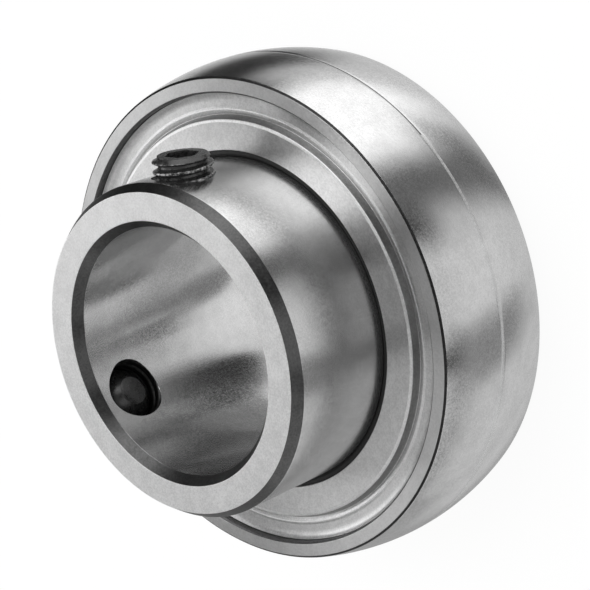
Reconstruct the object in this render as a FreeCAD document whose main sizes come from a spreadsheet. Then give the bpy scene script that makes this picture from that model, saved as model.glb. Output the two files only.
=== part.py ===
"""Insert bearing with a spherical outer ring and an inner ring that is held on its shaft by two set screws.

The frame: the origin is the centre of the sphere, +Z is the shaft's axis and points to the long end of the
inner ring, and set_screw_1 lies on +X. Millimetres.
"""
import FreeCAD, Part
import os
import math
import Sketcher

V = FreeCAD.Vector
Z_AXIS = V(0, 0, 1)
X_AXIS = V(1, 0, 0)

# How near two edges' sizes count as the same
SAME = 1e-4
# A part turned over about the X axis, for the rear side
TURNED_OVER = FreeCAD.Placement(V(0, 0, 0), FreeCAD.Rotation(X_AXIS, 180))
# Where the set screws point, from +X
SCREW_ANGLES = ("0", "screw_angle")
# The first rivet's place, half way between two balls
RIVET_ACROSS = "pitch_radius * cos(180 / ball_count)"
RIVET_UP = "pitch_radius * sin(180 / ball_count)"
# A rivet head's flat top, as a share of its width
RIVET_CROWN = 0.6

DOC = FreeCAD.newDocument("InsertBearing")

# Driving sizes. Across the shaft they build up from the bore to the sphere, and along it from the balls
# to the faces, so each piece follows the ones inside it.
SIZES = {
    # Inner ring
    "bore_diameter": 25.0,
    "inner_wall": 4.3,
    "nose_reach": 11.75,
    "nose_chamfer_wide": 0.7,
    "nose_chamfer_deep": 1.05,
    "bore_chamfer_wide": 0.8,
    "bore_chamfer_deep": 1.0,
    "back_chamfer": 0.5,
    # Balls and raceways
    "ball_count": 9,
    "ball_diameter": 7.938,
    "ball_clearance": 0.02,
    "groove_ease": 0.161,
    "inner_groove_depth": 1.278,
    "outer_groove_depth": 1.2,
    # Outer ring
    "outer_wall": 2.5,
    "rim_chamfer_wide": 0.2,
    "rim_chamfer_deep": 0.2,
    "seat_ledge": 0.95,
    "seat_edge_break": 0.15,
    "grease_hole_diameter": 1.6,
    "grease_hole_margin": 0.4,
    "grease_hole_angle": 47.0,
    "grease_hole_turn": 120.0,
    # Cage
    "cage_sheet": 0.5,
    "cage_gap": 0.85,
    "cage_room": 1.581,
    "pocket_clearance": 0.1,
    "rivet_diameter": 1.2,
    "rivet_head_diameter": 2.2,
    "rivet_head_height": 0.45,
    "rivet_clearance": 0.02,
    # Seal plates
    "plate_sheet": 0.5,
    "plate_setback": 0.4,
    "plate_tuck": 0.25,
    "plate_gap": 0.04,
    "band_width": 2.65,
    "ridge_inset": 1.75,
    "ridge_width": 0.5,
    "ridge_height": 0.12,
    "moat_inset": 2.25,
    "moat_depth": 0.12,
    "step_rise": 0.72,
    "step_slant": 0.15,
    "step_round": 0.3,
    # Seal lips
    "lip_gap": 0.7,
    "lip_margin": 0.4,
    "lip_thickness": 0.45,
    "lip_reach": 1.35,
    "lip_edge": 0.2,
    "lip_waist": 0.27,
    "lip_setback": 0.2,
    "lip_clearance": 0.03,
    # Set screws
    "screw_diameter": 6.0,
    "screw_length": 6.0,
    "screw_setback": 5.0,
    "screw_recess": 0.25,
    "screw_angle": 122.0,
    "screw_hole_clearance": 0.03,
    "screw_chamfer": 0.5,
    "cup_diameter": 3.0,
    "cup_depth": 0.9,
    "socket_width": 3.0,
    "socket_depth": 2.6,
}

sheet = DOC.addObject("Spreadsheet::Sheet", "Sizes")
for row, (name, size) in enumerate(SIZES.items(), start=1):
    sheet.set(f"A{row}", name)
    sheet.set(f"B{row}", str(size))
    sheet.setAlias(f"B{row}", name)

# Sizes that follow from the driving sizes
DERIVED = {
    # Across the shaft, from the bore outwards
    "bore_radius": "=bore_diameter / 2",
    "inner_radius": "=bore_radius + inner_wall",
    "ball_radius": "=ball_diameter / 2",
    "groove_radius": "=ball_radius + groove_ease",
    "inner_groove_bottom": "=inner_radius - inner_groove_depth",
    "inner_groove_centre": "=inner_groove_bottom + groove_radius",
    "pitch_radius": "=inner_groove_bottom + ball_clearance + ball_radius",
    "outer_groove_bottom": "=pitch_radius + ball_radius + ball_clearance",
    "outer_groove_centre": "=outer_groove_bottom - groove_radius",
    "outer_shoulder_radius": "=outer_groove_bottom - outer_groove_depth",
    "sphere_radius": "=outer_groove_bottom + outer_wall",
    "cage_inner_radius": "=inner_radius + cage_gap",
    "cage_outer_radius": "=outer_shoulder_radius - cage_gap",
    "seat_radius": "=outer_shoulder_radius + seat_ledge",
    "tuck_radius": "=seat_radius + plate_tuck",
    "plate_rim_radius": "=tuck_radius - plate_gap",
    "ridge_radius": "=seat_radius - ridge_inset",
    "moat_radius": "=seat_radius - moat_inset",
    "step_radius": "=seat_radius - band_width",
    "plate_inner_radius": "=inner_radius + lip_gap",
    "lip_root_radius": "=step_radius - plate_sheet - lip_margin",
    # Along the shaft, from the balls to the faces
    "pocket_radius": "=ball_radius + pocket_clearance",
    "dome_radius": "=pocket_radius + cage_sheet",
    "plate_under": "=dome_radius + cage_room + lip_thickness",
    "plate_top": "=plate_under + plate_sheet",
    "seat_top": "=plate_top - step_rise",
    "seat_floor": "=seat_top - plate_sheet",
    "face_height": "=plate_top + plate_setback",
    "nose_height": "=face_height + nose_reach",
    "grease_hole_height": "=seat_floor - grease_hole_diameter / 2 - grease_hole_margin",
    # Set screws, along their own axes and along the shaft
    "screw_radius": "=screw_diameter / 2",
    "screw_tip": "=bore_radius + screw_recess",
    "screw_top": "=screw_tip + screw_length",
    "screw_height": "=nose_height - screw_setback",
}
for row, (name, formula) in enumerate(DERIVED.items(), start=len(SIZES) + 2):
    sheet.set(f"A{row}", name)
    sheet.set(f"B{row}", formula)
    sheet.setAlias(f"B{row}", name)
DOC.recompute()


def size(name):
    """The present value of a cell."""
    return float(getattr(sheet, name))


def bound(formula):
    """A formula of cell names, as an expression that other objects of the document can use."""
    words = sorted(list(SIZES) + list(DERIVED), key=len, reverse=True)
    out = ""
    place = 0
    while place < len(formula):
        starts_word = place == 0 or not (formula[place - 1].isalnum() or formula[place - 1] == "_")
        word = next((w for w in words if starts_word and formula.startswith(w, place)), None)
        out += f"Sizes.{word}" if word else formula[place]
        place += len(word) if word else 1
    return out


def value(formula):
    """The present value of a formula of cell names."""
    return float(sheet.evalExpression(bound(formula).replace("Sizes.", "")))


def new_body(label):
    body = DOC.addObject("PartDesign::Body", label)
    body.Label = label
    return body


def origin_plane(body, role):
    return next(f for f in body.Origin.OriginFeatures if f.Role == role)


def new_sketch(body, name, role, lift=None, turn=None):
    """A sketch on one of the body's own planes, lifted off it or turned about its upright by a formula."""
    sketch = body.newObject("Sketcher::SketchObject", name)
    sketch.AttachmentSupport = [(origin_plane(body, role), "")]
    sketch.MapMode = "FlatFace"
    if lift:
        sketch.setExpression("AttachmentOffset.Base.z", bound(lift))
    if turn:
        sketch.AttachmentOffset = FreeCAD.Placement(V(0, 0, 0), FreeCAD.Rotation(V(0, 1, 0), value(turn)))
        sketch.setExpression("AttachmentOffset.Rotation.Angle", bound(turn))
    return sketch


def corner(across, up, fixed="xy"):
    """One corner of an outline: its two formulas, and which of the two hold it in the sketch."""
    return {"across": across, "up": up, "fixed": fixed, "centre": None, "turn": 0}


def arc_to(across, up, fixed, centre_across, centre_up, turn):
    """A corner that an arc reaches about a centre, turning left (1) or right (-1)."""
    return {"across": across, "up": up, "fixed": fixed, "centre": (centre_across, centre_up), "turn": turn}


def hold(sketch, geometry, point, across, up, fixed="xy"):
    """Hold a point of the sketch at its two formulas, measured from the sketch's origin."""
    for letter, formula, kind, axis in (("x", across, "DistanceX", -2), ("y", up, "DistanceY", -1)):
        if letter not in fixed:
            continue
        if formula == "0":
            sketch.addConstraint(Sketcher.Constraint("PointOnObject", geometry, point, axis))
            continue
        number = sketch.addConstraint(Sketcher.Constraint(kind, -1, 1, geometry, point, value(formula)))
        sketch.setExpression(f"Constraints[{number}]", bound(formula))


def outline(sketch, corners):
    """A closed outline through the corners, whose lines and arcs follow the sizes."""
    places = [V(value(c["across"]), value(c["up"]), 0) for c in corners]
    count = len(corners)
    ends = []
    for i, start in enumerate(places):
        goal = corners[(i + 1) % count]
        end = places[(i + 1) % count]
        ends.append((2, 1) if goal["turn"] < 0 else (1, 2))
        if goal["centre"] is None:
            sketch.addGeometry(Part.LineSegment(start, end), False)
            continue
        centre = V(value(goal["centre"][0]), value(goal["centre"][1]), 0)
        first = math.atan2(start.y - centre.y, start.x - centre.x)
        last = math.atan2(end.y - centre.y, end.x - centre.x)
        if goal["turn"] < 0:
            first, last = last, first
        circle = Part.Circle(centre, Z_AXIS, start.distanceToPoint(centre))
        sketch.addGeometry(Part.ArcOfCircle(circle, first, last), False)
    for i, this in enumerate(corners):
        following = (i + 1) % count
        sketch.addConstraint(Sketcher.Constraint("Coincident", i, ends[i][1], following, ends[following][0]))
        hold(sketch, i, ends[i][0], this["across"], this["up"], this["fixed"])
        if this["centre"]:
            hold(sketch, (i - 1) % count, 3, this["centre"][0], this["centre"][1])


def circle_at(sketch, across, up, radius):
    centre = V(value(across), value(up), 0)
    geometry = sketch.addGeometry(Part.Circle(centre, Z_AXIS, value(radius)), False)
    number = sketch.addConstraint(Sketcher.Constraint("Radius", geometry, value(radius)))
    sketch.setExpression(f"Constraints[{number}]", bound(radius))
    hold(sketch, geometry, 3, across, up)


def revolve(body, name, sketch, axis="V_Axis"):
    feature = body.newObject("PartDesign::Revolution", name)
    feature.Profile = sketch
    feature.ReferenceAxis = (sketch, [axis])
    feature.Angle = 360.0
    DOC.recompute()
    return feature


def cut_from(body, name, sketch, depth, outwards=False):
    """A pocket of the sketch, which has to take something away."""
    before = body.Shape.Volume
    feature = body.newObject("PartDesign::Pocket", name)
    feature.Profile = sketch
    feature.Type = "Length"
    feature.setExpression("Length", bound(depth))
    feature.Reversed = outwards
    DOC.recompute()
    if body.Shape.Volume >= before:
        raise RuntimeError(f"{name} cuts nothing")
    return feature


def polar(body, name, features, count):
    """The features repeated evenly about the body's upright axis."""
    pattern = body.newObject("PartDesign::PolarPattern", name)
    pattern.Originals = features
    pattern.Axis = (origin_plane(body, "Z_Axis"), [""])
    pattern.Angle = 360.0
    pattern.setExpression("Occurrences", bound(count))
    body.Tip = pattern
    DOC.recompute()
    return pattern


def round_edges(body, name, circles, radius):
    """A fillet on the body's circular edges of the given radius and height formulas."""
    base = body.Tip
    names = []
    for edge_radius, height in circles:
        for number, edge in enumerate(base.Shape.Edges, start=1):
            if not isinstance(edge.Curve, Part.Circle):
                continue
            same_radius = abs(edge.Curve.Radius - value(edge_radius)) < SAME
            if same_radius and abs(edge.Curve.Center.z - value(height)) < SAME:
                names.append(f"Edge{number}")
    fillet = body.newObject("PartDesign::Fillet", name)
    fillet.Base = (base, names)
    fillet.setExpression("Radius", bound(radius))
    body.Tip = fillet
    DOC.recompute()
    return fillet


# Outer ring: a sphere outside, a raceway inside, a seat for a seal plate in each face, two grease holes
def make_outer_ring():
    body = new_body("outer_ring")
    sketch = new_sketch(body, "OuterRingSection", "XZ_Plane")
    rim = "sqrt(sphere_radius ^ 2 - face_height ^ 2) - rim_chamfer_wide"
    sphere_end = "sqrt(sphere_radius ^ 2 - (face_height - rim_chamfer_deep) ^ 2)"
    shoulder = "outer_shoulder_radius"
    groove_half = "sqrt(groove_radius ^ 2 - (outer_shoulder_radius - outer_groove_centre) ^ 2)"
    outline(sketch, [
        corner(rim, "-face_height"),
        corner(sphere_end, "-(face_height - rim_chamfer_deep)", "y"),
        arc_to(sphere_end, "face_height - rim_chamfer_deep", "xy", "0", "0", 1),
        corner(rim, "face_height"),
        corner("seat_radius + seat_edge_break", "face_height"),
        corner("seat_radius", "face_height - seat_edge_break"),
        corner("seat_radius", "seat_top"),
        corner("tuck_radius", "seat_top"),
        corner("tuck_radius", "seat_floor"),
        corner(shoulder, "seat_floor"),
        corner(shoulder, groove_half),
        arc_to(shoulder, "-" + groove_half, "x", "outer_groove_centre", "0", -1),
        corner(shoulder, "-seat_floor"),
        corner("tuck_radius", "-seat_floor"),
        corner("tuck_radius", "-seat_top"),
        corner("seat_radius", "-seat_top"),
        corner("seat_radius", "-(face_height - seat_edge_break)"),
        corner("seat_radius + seat_edge_break", "-face_height"),
    ])
    revolve(body, "OuterRingTurned", sketch)
    second_angle = "grease_hole_angle + grease_hole_turn"
    holes = (("GreaseHoleFront", "grease_hole_angle", "grease_hole_height"),
             ("GreaseHoleRear", second_angle, "-grease_hole_height"))
    for name, angle, height in holes:
        hole = new_sketch(body, name + "Sketch", "YZ_Plane", turn=angle)
        circle_at(hole, "0", height, "grease_hole_diameter / 2")
        cut_from(body, name, hole, "sphere_radius", outwards=True)
    return body


# Inner ring: the bore, the raceway and a long nose with two radial screw holes
def make_inner_ring():
    body = new_body("inner_ring")
    sketch = new_sketch(body, "InnerRingSection", "XZ_Plane")
    groove_half = "sqrt(groove_radius ^ 2 - (inner_groove_centre - inner_radius) ^ 2)"
    outline(sketch, [
        corner("bore_radius + back_chamfer", "-face_height"),
        corner("inner_radius - back_chamfer", "-face_height"),
        corner("inner_radius", "-(face_height - back_chamfer)"),
        corner("inner_radius", "-" + groove_half),
        arc_to("inner_radius", groove_half, "x", "inner_groove_centre", "0", -1),
        corner("inner_radius", "nose_height - nose_chamfer_deep"),
        corner("inner_radius - nose_chamfer_wide", "nose_height"),
        corner("bore_radius + bore_chamfer_wide", "nose_height"),
        corner("bore_radius", "nose_height - bore_chamfer_deep"),
        corner("bore_radius", "-(face_height - back_chamfer)"),
    ])
    revolve(body, "InnerRingTurned", sketch)
    for number, angle in enumerate(SCREW_ANGLES, start=1):
        hole = new_sketch(body, f"ScrewHole{number}Sketch", "YZ_Plane", turn=angle)
        circle_at(hole, "0", "screw_height", "screw_radius + screw_hole_clearance")
        cut_from(body, f"ScrewHole{number}", hole, "screw_top", outwards=True)
    return body


# Balls, evenly spaced on the pitch circle
def make_balls():
    balls = []
    for number in range(round(size("ball_count"))):
        ball = DOC.addObject("Part::Sphere", f"ball_{number + 1}")
        ball.Label = f"ball_{number + 1}"
        ball.setExpression("Radius", bound("ball_radius"))
        angle = bound(f"{number} * 360 / ball_count")
        ball.setExpression("Placement.Base.x", f"{bound('pitch_radius')} * cos({angle})")
        ball.setExpression("Placement.Base.y", f"{bound('pitch_radius')} * sin({angle})")
        balls.append(ball)
    return balls


def pocket_sphere(body, kind, name, radius):
    """A half sphere of the cage about the first ball's centre, added to the body or taken from it."""
    sphere = body.newObject(kind, name)
    sphere.AttachmentSupport = [(origin_plane(body, "XY_Plane"), "")]
    sphere.MapMode = "FlatFace"
    sphere.setExpression("AttachmentOffset.Base.x", bound("pitch_radius"))
    sphere.setExpression("Radius", bound(radius))
    return sphere


# Cage half: a flat ribbon pressed into a pocket over each ball, and turned over for the other side
def make_cage_half(label, turned_over=False):
    body = new_body(label)
    ribbon = new_sketch(body, label + "_ribbon", "XZ_Plane")
    outline(ribbon, [
        corner("cage_inner_radius", "0"),
        corner("cage_outer_radius", "0"),
        corner("cage_outer_radius", "cage_sheet"),
        corner("cage_inner_radius", "cage_sheet"),
    ])
    revolve(body, label + "_ring", ribbon)
    dome = pocket_sphere(body, "PartDesign::AdditiveSphere", label + "_dome", "dome_radius")
    dome.Angle1 = 0
    DOC.recompute()
    polar(body, label + "_domes", [dome], "ball_count")
    beyond = "pitch_radius + dome_radius + cage_sheet"
    within = "pitch_radius - dome_radius - cage_sheet"
    for side, near, far in (("outside", "cage_outer_radius", beyond), ("inside", within, "cage_inner_radius")):
        edge = new_sketch(body, f"{label}_{side}_sketch", "XZ_Plane")
        outline(edge, [
            corner(near, "-cage_sheet"),
            corner(far, "-cage_sheet"),
            corner(far, "dome_radius + cage_sheet"),
            corner(near, "dome_radius + cage_sheet"),
        ])
        groove = body.newObject("PartDesign::Groove", f"{label}_{side}")
        groove.Profile = edge
        groove.ReferenceAxis = (edge, ["V_Axis"])
        groove.Angle = 360.0
        DOC.recompute()
    hollow = pocket_sphere(body, "PartDesign::SubtractiveSphere", label + "_hollow", "pocket_radius")
    DOC.recompute()
    polar(body, label + "_hollows", [hollow], "ball_count")
    hole = new_sketch(body, label + "_rivet_sketch", "XY_Plane")
    radius = "rivet_diameter / 2 + rivet_clearance"
    circle_at(hole, RIVET_ACROSS, RIVET_UP, radius)
    first_hole = cut_from(body, label + "_rivet_hole", hole, "2 * cage_sheet", outwards=True)
    polar(body, label + "_rivet_holes", [first_hole], "ball_count")
    if turned_over:
        body.Placement = TURNED_OVER
    return body


# Rivets that hold the two cage halves together between the balls, as one group of solids
def make_cage_rivets():
    shank = size("rivet_diameter") / 2
    head = size("rivet_head_diameter") / 2
    thick = size("cage_sheet")
    top = thick + size("rivet_head_height")
    crown = head * RIVET_CROWN
    profile = [
        V(0, 0, -top), V(crown, 0, -top), V(head, 0, -thick), V(shank, 0, -thick),
        V(shank, 0, thick), V(head, 0, thick), V(crown, 0, top), V(0, 0, top), V(0, 0, -top),
    ]
    rivet = Part.Face(Part.makePolygon(profile)).revolve(V(0, 0, 0), Z_AXIS, 360)
    rivet.translate(V(value(RIVET_ACROSS), value(RIVET_UP), 0))
    count = round(size("ball_count"))
    copies = []
    for number in range(count):
        copy = rivet.copy()
        copy.rotate(V(0, 0, 0), Z_AXIS, number * 360 / count)
        copies.append(copy)
    rivets = DOC.addObject("Part::Feature", "cage_rivets")
    rivets.Label = "cage_rivets"
    rivets.Shape = Part.makeCompound(copies)
    return rivets


# Seal plate: pressed sheet, flat in its seat, with a fine ridge, a moat and a step up to the inner band
def make_seal_plate(label, turned_over=False):
    body = new_body(label)
    sketch = new_sketch(body, label + "_section", "XZ_Plane")
    outline(sketch, [
        corner("plate_rim_radius", "seat_floor"),
        corner("plate_rim_radius", "seat_top"),
        corner("ridge_radius + ridge_width / 2", "seat_top"),
        corner("ridge_radius", "seat_top + ridge_height"),
        corner("ridge_radius - ridge_width / 2", "seat_top"),
        corner("moat_radius", "seat_top - moat_depth"),
        corner("step_radius + step_slant", "seat_top - moat_depth"),
        corner("step_radius", "plate_top"),
        corner("plate_inner_radius", "plate_top"),
        corner("plate_inner_radius", "plate_under"),
        corner("step_radius - plate_sheet", "plate_under"),
        corner("step_radius - plate_sheet + step_slant", "seat_floor"),
    ])
    revolve(body, label + "_pressed", sketch)
    round_edges(body, label + "_bend", [("step_radius", "plate_top")], "step_round")
    if turned_over:
        body.Placement = TURNED_OVER
    return body


# Seal lip: rubber bonded under the plate's inner edge, with two edges that run on the inner ring
def make_seal_lip(label, turned_over=False):
    body = new_body(label)
    sketch = new_sketch(body, label + "_section", "XZ_Plane")
    edge = "inner_radius + lip_clearance"
    waist = "inner_radius + lip_clearance + lip_waist"
    inner = "plate_inner_radius"
    outline(sketch, [
        corner("lip_root_radius", "plate_under"),
        corner(inner, "plate_under"),
        corner(inner, "plate_top - lip_setback"),
        corner(waist, "plate_top - lip_setback"),
        corner(edge, "plate_under + lip_edge / 2"),
        corner(edge, "plate_under - lip_edge / 2"),
        corner(waist, "plate_under - lip_thickness"),
        corner(edge, "plate_under - lip_reach + lip_edge"),
        corner(edge, "plate_under - lip_reach"),
        corner(waist + " + lip_edge", "plate_under - lip_reach"),
        corner(inner + " + lip_waist", "plate_under - lip_thickness"),
        corner("lip_root_radius", "plate_under - lip_thickness"),
    ])
    revolve(body, label + "_moulded", sketch)
    if turned_over:
        body.Placement = TURNED_OVER
    return body


# Set screw along +X: a cup point, a plain body for its thread and a hexagon socket
def make_set_screw(label, turn):
    body = new_body(label)
    sketch = new_sketch(body, label + "_section", "XY_Plane")
    outline(sketch, [
        corner("screw_tip + cup_depth", "0"),
        corner("screw_top", "0"),
        corner("screw_top", "screw_radius - screw_chamfer"),
        corner("screw_top - screw_chamfer", "screw_radius"),
        corner("screw_tip + screw_radius - cup_diameter / 2", "screw_radius"),
        corner("screw_tip", "cup_diameter / 2"),
    ])
    revolve(body, label + "_turned", sketch, "H_Axis")
    socket = new_sketch(body, label + "_hexagon", "YZ_Plane", lift="screw_top")
    long_half = "socket_width / sqrt(3)"
    short_half = "socket_width / sqrt(3) / 2"
    outline(socket, [
        corner(long_half, "0"),
        corner(short_half, "socket_width / 2"),
        corner("-" + short_half, "socket_width / 2"),
        corner("-" + long_half, "0"),
        corner("-" + short_half, "-socket_width / 2"),
        corner(short_half, "-socket_width / 2"),
    ])
    cut_from(body, label + "_socket", socket, "socket_depth")
    body.Placement = FreeCAD.Placement(V(0, 0, 0), FreeCAD.Rotation(Z_AXIS, value(turn)))
    body.setExpression("Placement.Base.z", bound("screw_height"))
    body.setExpression("Placement.Rotation.Angle", bound(turn))
    return body


def main():
    pieces = [make_outer_ring(), make_inner_ring()]
    pieces += make_balls()
    pieces.append(make_cage_half("cage_half_front"))
    pieces.append(make_cage_half("cage_half_rear", turned_over=True))
    pieces.append(make_cage_rivets())
    for side, turned_over in (("front", False), ("rear", True)):
        pieces.append(make_seal_plate(f"seal_plate_{side}", turned_over))
        pieces.append(make_seal_lip(f"seal_lip_{side}", turned_over))
    for number, angle in enumerate(SCREW_ANGLES, start=1):
        pieces.append(make_set_screw(f"set_screw_{number}", angle))
    DOC.recompute()

    for item in DOC.Objects:
        if "Invalid" in item.State or "Error" in item.State:
            raise RuntimeError(f"{item.Label}: {item.State}")
    os.makedirs("parts", exist_ok=True)
    for piece in pieces:
        shape = piece.Shape
        if shape.isNull() or not shape.isValid():
            raise RuntimeError(f"{piece.Label} has no sound shape")
        print(f"{piece.Label}: {len(shape.Solids)} solid(s), {shape.Volume:.2f} mm3")
        shape.exportStep(f"parts/{piece.Label}.step")


main()
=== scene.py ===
"""The looks of the insert bearing: turned rings, pressed seal plates, threaded set screws, and a studio.

The frame is the CAD's: metres, the origin at the sphere's centre, +Z along the shaft towards the inner
ring's long nose, and the first set screw on +X. Sizes are in millimetres here, and MM makes them metres.
"""
import math

import bmesh
import bpy
from mathutils import Matrix, Vector


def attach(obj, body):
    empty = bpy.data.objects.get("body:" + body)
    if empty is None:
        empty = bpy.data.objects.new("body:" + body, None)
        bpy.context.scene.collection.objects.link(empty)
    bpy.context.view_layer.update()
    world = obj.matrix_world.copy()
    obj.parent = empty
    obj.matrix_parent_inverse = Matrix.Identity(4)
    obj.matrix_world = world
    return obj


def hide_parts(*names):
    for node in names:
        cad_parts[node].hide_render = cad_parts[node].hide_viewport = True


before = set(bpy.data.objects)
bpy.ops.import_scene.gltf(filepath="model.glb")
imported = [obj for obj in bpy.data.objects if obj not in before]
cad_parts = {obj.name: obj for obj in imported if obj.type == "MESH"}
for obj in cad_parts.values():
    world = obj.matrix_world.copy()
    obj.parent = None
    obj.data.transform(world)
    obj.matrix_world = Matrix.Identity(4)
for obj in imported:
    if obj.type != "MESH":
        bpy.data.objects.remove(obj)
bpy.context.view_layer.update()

MM = 0.001
TURN = 2 * math.pi

# Inner ring
BORE_RADIUS = 12.5
INNER_RADIUS = 16.8
NOSE_HEIGHT = 19.25
NOSE_CHAMFER_WIDE = 0.7
NOSE_CHAMFER_DEEP = 1.05
BORE_CHAMFER_WIDE = 0.8
BORE_CHAMFER_DEEP = 1.0
BACK_CHAMFER = 0.5
# Balls and raceways
BALL_COUNT = 9
BALL_RADIUS = 3.969
PITCH_RADIUS = 19.511
GROOVE_RADIUS = 4.13
INNER_GROOVE_BOTTOM = 15.522
OUTER_GROOVE_BOTTOM = 23.5
# Outer ring
SPHERE_RADIUS = 26.0
FACE_HEIGHT = 7.5
RIM_CHAMFER_WIDE = 0.2
RIM_CHAMFER_DEEP = 0.2
RIM_ROUND = 0.08
SHOULDER_RADIUS = 22.3
SEAT_RADIUS = 23.25
SEAT_EDGE = 0.2
TUCK_RADIUS = 23.5
GREASE_HOLE_RADIUS = 0.8
GREASE_HOLES = ((47.0, 4.68), (167.0, -4.68))
GREASE_DRILL_START = 21
GREASE_DRILL_END = 27
# The seam round the sphere, a shallow groove with painted shade in its middle, and a painted highlight
# instead between two directions, in degrees
SEAM_WIDTH = 0.36
SEAM_DEPTH = 0.025
SEAM_FLOOR_SHARE = 0.5
SEAM_PAINTED_SHADE_SHARE = 0.6
SEAM_PAINTED_HIGHLIGHT = (130.0, 317.0)
# Seal plates and lips
PLATE_RIM_RADIUS = 23.46
PLATE_SHEET = 0.5
PLATE_TOP = 7.1
STEP_RISE = 0.72
PLATE_INNER_RADIUS = 17.5
RIDGE_RADIUS = 21.45
RIDGE_WIDTH = 0.56
RIDGE_HEIGHT = 0.06
RIDGE_ROUND = 0.3
RIDGE_FOOT_ROUND = 0.1
MOAT_DEPTH = 0.12
MOAT_ROUND = 0.06
STEP_RADIUS = 20.6
STEP_SLANT = 0.33
STEP_ROUND = 0.15
STEP_FALL = 0.06
STEP_FALL_WIDTH = 0.3
STEP_FALL_ROUND = 0.5
UNDER_ROUND = 0.1
UNDER_FOOT_ROUND = 0.2
FLARE_OUTER_RADIUS = 23.2
FLARE_MIDDLE_RADIUS = 22.9
FLARE_INNER_RADIUS = 22.5
FLARE_RISE = 0.4
FLARE_MIDDLE_SHARE = 0.25
FLARE_EDGE_ROUND = 0.03
FLARE_ROUND = 1.0
FLARE_FOOT_ROUND = 1.5
LIP_ROOT_RADIUS = 19.7
LIP_THICKNESS = 0.45
LIP_REACH = 1.35
LIP_EDGE = 0.2
LIP_WAIST = 0.27
LIP_SETBACK = 0.2
LIP_CLEARANCE = 0.03
LIP_ROUND = 0.1
LIP_TIP_ROUND = 0.05
# Set screws and the holes that they run in
SCREW_ANGLES = (0.0, 122.0)
SCREW_HEIGHT = 14.25
SCREW_TIP = 12.75
SCREW_LENGTH = 6.0
SCREW_CREST = 2.98
THREAD_PITCH = 1.0
THREAD_DEPTH = 0.55
THREAD_START = 0.35
THREAD_ROOT_SHARE = 0.2
THREAD_CREST_SHARE = 0.88
SCREW_TOP_CHAMFER = 0.5
SCREW_TIP_CHAMFER = 1.5
CUP_RADIUS = 1.45
CUP_DEPTH = 0.9
SOCKET_WIDTH = 3.0
SOCKET_DEPTH = 2.6
SOCKET_DRILL_DEPTH = 0.5
HOLE_RADIUS = 3.03
HOLE_THREAD = 0.17
TAP_START = 10.5
TAP_LENGTH = 8.0
OVERSHOOT = 1

# How finely the pieces are turned, and how their corners are broken
RING_SEGMENTS = 256
SPHERE_STEPS = 30
SEAM_STEPS = 4
RACEWAY_STEPS = 32
BALL_DETAIL = 5
DRILL_SIDES = 48
CUP_SIDES = 64
CORNER_STEPS = 4
CORNER_SHARE = 0.45
EDGE_BREAK = 0.06
SUPPORT = 0.05
SUPPORT_SHARE = 0.04
THREAD_AROUND = 96
THREAD_ROWS_PER_TURN = 24
SHARP_ANGLE = math.radians(32)
# How near two points are merged, in metres
MERGE = 2e-7

# Where one finish ends and the next begins, by a face's centre and by how far its normal leans
NEAR = 0.02
RIM_ZONE_RADIUS = 24.25
INNER_GROOVE_EDGE = 3
NOSE_CHAMFER_ZONE = 1.2
BACK_CHAMFER_ZONE = 0.6
BACK_FACE_ZONE = 0.1
CHAMFER_LEAN = 0.2
STEP_ZONE_RADIUS = 21.15
STEP_WALL_LEAN = 0.6
RIDGE_HIGHLIGHT_HALF_WIDTH = 0.16

# The photograph's camera, in millimetres of the CAD's frame
CAMERA_PLACE = (62.0345, -148.3862, 158.2411)
CAMERA_LOOK = (-0.27157422, 0.65921499, -0.70120114)
CAMERA_UP = (0.95810824, 0.11631439, -0.2617242)
LENS = 134.49
SENSOR_WIDTH = 36
CLIP_START = 0.005


# Sections of the turned pieces, as points (r, z) in millimetres
def arc(centre_r, centre_z, radius, first, last, steps):
    """Points of an arc from one angle to another, in degrees."""
    points = []
    for i in range(steps + 1):
        angle = math.radians(first + (last - first) * i / steps)
        points.append((centre_r + radius * math.cos(angle), centre_z + radius * math.sin(angle), 0))
    return points


def broken(corners):
    """A closed section with its corners rounded: a corner is (r, z, rounding), and 0 leaves it sharp."""
    points = []
    count = len(corners)
    for i, (r, z, rounding) in enumerate(corners):
        here = Vector((r, z))
        if rounding == 0:
            points.append((r, z))
            continue
        before = Vector(corners[i - 1][:2]) - here
        after = Vector(corners[(i + 1) % count][:2]) - here
        half = before.angle(after) / 2
        reach = min(rounding / math.tan(half), CORNER_SHARE * before.length, CORNER_SHARE * after.length)
        radius = reach * math.tan(half)
        before_way = before.normalized()
        after_way = after.normalized()
        middle = here + (before_way + after_way).normalized() * radius / math.sin(half)
        start = here + before_way * reach
        end = here + after_way * reach
        points.append(tuple(start + before_way * min(SUPPORT, SUPPORT_SHARE * before.length)))
        first = math.atan2(start.y - middle.y, start.x - middle.x)
        last = math.atan2(end.y - middle.y, end.x - middle.x)
        sweep = (last - first + math.pi) % TURN - math.pi
        for k in range(CORNER_STEPS + 1):
            angle = first + sweep * k / CORNER_STEPS
            points.append((middle.x + radius * math.cos(angle), middle.y + radius * math.sin(angle)))
        points.append(tuple(end + after_way * min(SUPPORT, SUPPORT_SHARE * after.length)))
    return points


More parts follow.
